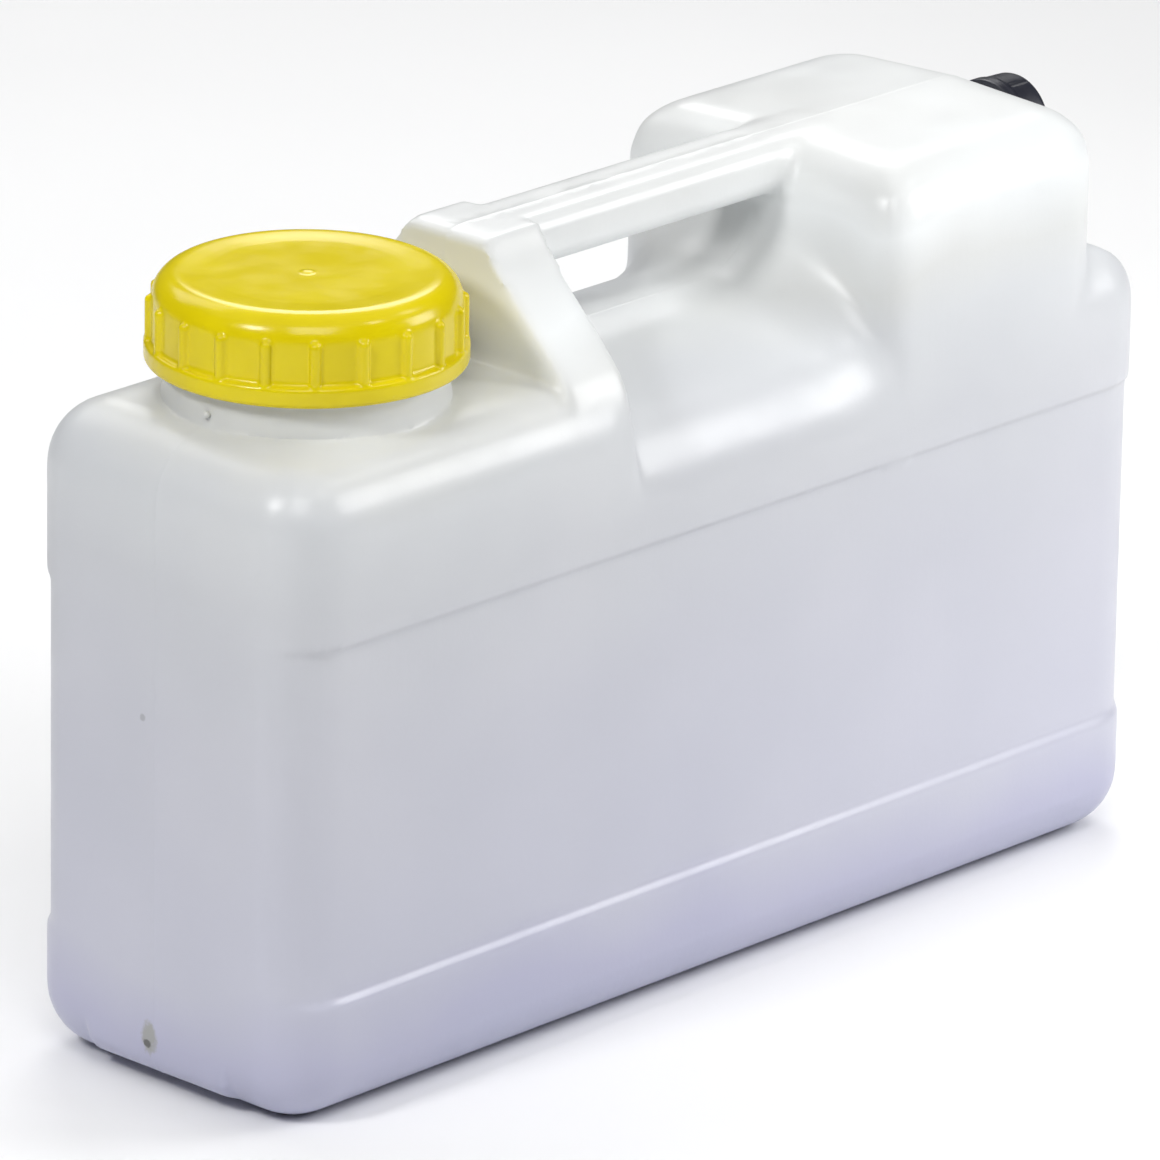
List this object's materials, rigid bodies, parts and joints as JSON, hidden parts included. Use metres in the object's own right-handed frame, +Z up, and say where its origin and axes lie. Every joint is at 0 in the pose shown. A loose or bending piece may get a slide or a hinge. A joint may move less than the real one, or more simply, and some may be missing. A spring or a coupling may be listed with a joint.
{
  "type": "water jerrycan",
  "caption": "Blow-moulded plastic water jerrycan with a wide screw-capped filler neck, a carrying handle and a small screw-capped outlet at the top of one end.",
  "frame": {"origin": "centre of the footprint on the ground", "axes": "+X along the can from the filler neck's end to the outlet's end, +Y across the can, +Z up"},
  "size_m": [0.434, 0.132, 0.276],
  "materials": {
    "can_plastic": "satin milky natural polyethylene",
    "filler_cap_plastic": "glossy yellow polyethylene",
    "outlet_cap_plastic": "satin black plastic",
    "seal_rubber": "matt soft foam or rubber"
  },
  "bodies": {
    "can": {"can": "can_plastic"},
    "filler_lift": {"filler_seal": "seal_rubber"},
    "filler_cap": {"filler_cap": "filler_cap_plastic"},
    "outlet_draw": {"outlet_seal": "seal_rubber"},
    "outlet_cap": {"outlet_cap": "outlet_cap_plastic"}
  },
  "joints": [
    {"name": "filler_cap_lift", "type": "slide", "parent": "can", "child": "filler_lift", "axis": [0, 0, 1], "range_m": [0, 0.12]},
    {"name": "filler_cap_turn", "type": "hinge", "parent": "filler_lift", "child": "filler_cap", "pos_m": [-0.146, 0, 0.26], "axis": [0, 0, 1], "range_deg": [0, 540]},
    {"name": "outlet_cap_draw", "type": "slide", "parent": "can", "child": "outlet_draw", "axis": [1, 0, 0], "range_m": [0, 0.08]},
    {"name": "outlet_cap_turn", "type": "hinge", "parent": "outlet_draw", "child": "outlet_cap", "pos_m": [0.203, 0, 0.252], "axis": [1, 0, 0], "range_deg": [0, 720]}
  ],
  "couplings": [
    {"joint": "filler_cap_lift", "follows": "filler_cap_turn", "m_per_rad": 0.0127},
    {"joint": "outlet_cap_draw", "follows": "outlet_cap_turn", "m_per_rad": 0.00636}
  ]
}
